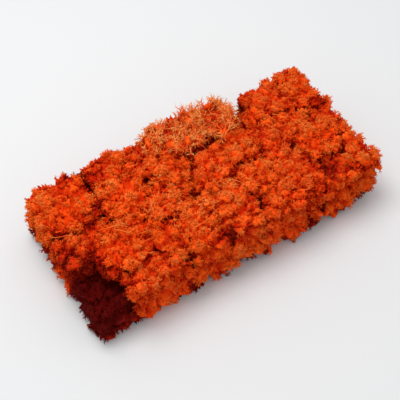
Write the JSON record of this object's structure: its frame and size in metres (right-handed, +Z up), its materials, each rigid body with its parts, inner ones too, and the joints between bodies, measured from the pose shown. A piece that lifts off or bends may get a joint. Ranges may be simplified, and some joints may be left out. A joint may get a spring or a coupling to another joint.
{
  "type": "reindeer moss clump",
  "caption": "Pressed clump of orange dyed reindeer lichen: bushy branching heads grown side by side over a broader lower layer, resting flat.",
  "frame": {"origin": "centre of the bounding box's bottom face, on the surface that the clump rests on", "axes": "+X along the clump's long side, +Y across it towards the higher heads, +Z up out of the heads' crowns"},
  "size_m": [0.372, 0.18, 0.0902],
  "materials": {
    "lichen_orange": "matt dyed lichen branches, bright orange tips over red-brown hollows",
    "lichen_red_orange": "matt dyed lichen branches, redder orange, dark red hollows",
    "lichen_pale_orange": "matt dyed lichen branches, pale salmon-orange bare filaments over orange",
    "lichen_deep_red": "matt dyed lichen branches, deep red, as the shaded lower layer"
  },
  "bodies": {
    "root": {"back_head_1": "lichen_orange", "back_head_2": "lichen_orange", "back_head_3": "lichen_red_orange", "back_head_4": "lichen_pale_orange", "back_head_5": "lichen_pale_orange", "back_head_6": "lichen_orange", "back_head_7": "lichen_red_orange", "back_head_8": "lichen_orange", "middle_head_1": "lichen_red_orange", "middle_head_2": "lichen_orange", "middle_head_3": "lichen_pale_orange", "middle_head_4": "lichen_orange", "middle_head_5": "lichen_red_orange", "middle_head_6": "lichen_orange", "middle_head_7": "lichen_red_orange", "middle_head_8": "lichen_orange", "middle_head_9": "lichen_red_orange", "front_head_1": "lichen_orange", "front_head_2": "lichen_red_orange", "front_head_3": "lichen_orange", "front_head_4": "lichen_orange", "front_head_5": "lichen_pale_orange", "front_head_6": "lichen_orange", "front_head_7": "lichen_red_orange", "front_head_8": "lichen_red_orange", "front_head_9": "lichen_orange", "front_head_10": "lichen_orange", "front_head_11": "lichen_orange", "bed_head_1": "lichen_deep_red", "bed_head_2": "lichen_deep_red", "bed_head_3": "lichen_deep_red", "bed_head_4": "lichen_red_orange", "bed_head_5": "lichen_deep_red", "bed_head_6": "lichen_deep_red", "bed_head_7": "lichen_deep_red", "bed_head_8": "lichen_deep_red", "bed_head_9": "lichen_deep_red", "bed_head_10": "lichen_deep_red"}
  },
  "joints": []
}
